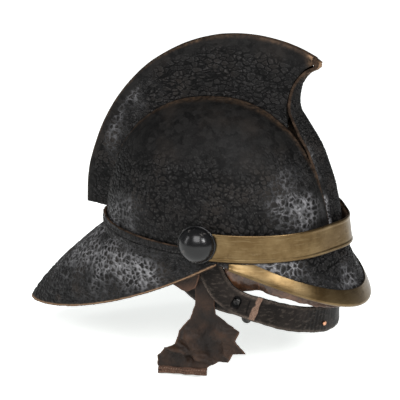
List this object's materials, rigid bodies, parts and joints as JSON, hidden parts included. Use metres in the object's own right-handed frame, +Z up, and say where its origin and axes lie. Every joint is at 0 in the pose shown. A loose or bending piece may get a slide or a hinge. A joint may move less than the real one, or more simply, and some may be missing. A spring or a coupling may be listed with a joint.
{
  "type": "firefighter helmet",
  "caption": "Old black leather fire helmet with a tall crest comb, brass brow band and peak edge, round side bosses, torn lining and a swinging chin strap.",
  "frame": {"origin": "middle of the head opening, at the foot of the crown", "axes": "+X to the front, over the peak; +Z up to the comb; +Y to the wearer's left"},
  "size_m": [0.359, 0.2266, 0.3285],
  "materials": {
    "black_crackled_leather": "black paint, crackled all over, worn to grey and brown on edges",
    "aged_brass": "satin, aged",
    "black_lacquer": "glossy black lacquer",
    "dark_iron": "dark, dull",
    "grey_brown_strap": "old strap leather, matt",
    "brown_lining_leather": "thin brown leather, worn shiny",
    "torn_brown_suede": "torn thin leather, suede side out",
    "waxed_lace": "waxed cord",
    "copper": "dull copper"
  },
  "bodies": {
    "helmet": {"crown_right": "black_crackled_leather", "crown_left": "black_crackled_leather", "comb_right": "black_crackled_leather", "comb_left": "black_crackled_leather", "comb_welt": "black_crackled_leather", "comb_front_facing": "black_crackled_leather", "neck_guard": "black_crackled_leather", "front_peak": "black_crackled_leather", "front_band": "aged_brass", "peak_binding": "aged_brass", "boss_plate_right": "black_lacquer", "boss_dome_right": "black_lacquer", "boss_bolt_right": "dark_iron", "boss_washer_right": "aged_brass", "boss_nut_right": "dark_iron", "boss_plate_left": "black_lacquer", "boss_dome_left": "black_lacquer", "boss_bolt_left": "dark_iron", "boss_washer_left": "aged_brass", "boss_nut_left": "dark_iron", "headband": "brown_lining_leather", "headband_piping": "brown_lining_leather", "liner_tongue_1": "brown_lining_leather", "liner_tongue_2": "brown_lining_leather", "liner_tongue_3": "brown_lining_leather", "liner_tongue_4": "brown_lining_leather", "liner_tongue_5": "brown_lining_leather", "liner_tongue_6": "brown_lining_leather", "liner_lace": "waxed_lace", "peak_lining": "brown_lining_leather", "torn_lining": "torn_brown_suede", "torn_lining_hem": "torn_brown_suede", "guard_lining": "torn_brown_suede"},
    "chin_strap": {"strap_short_right": "grey_brown_strap", "strap_short_left": "grey_brown_strap", "strap_long": "grey_brown_strap", "strap_stud_right": "dark_iron", "strap_stud_left": "dark_iron", "strap_stud_tail": "dark_iron", "strap_knob": "dark_iron", "strap_rivet": "copper"}
  },
  "joints": [
    {"name": "chin_strap_swing", "type": "hinge", "parent": "helmet", "child": "chin_strap", "pos_m": [-0.002, 0, 0.0185], "axis": [0, 1, 0], "range_deg": [0, 35], "deforming": ["torn_lining", "torn_lining_hem"]}
  ]
}
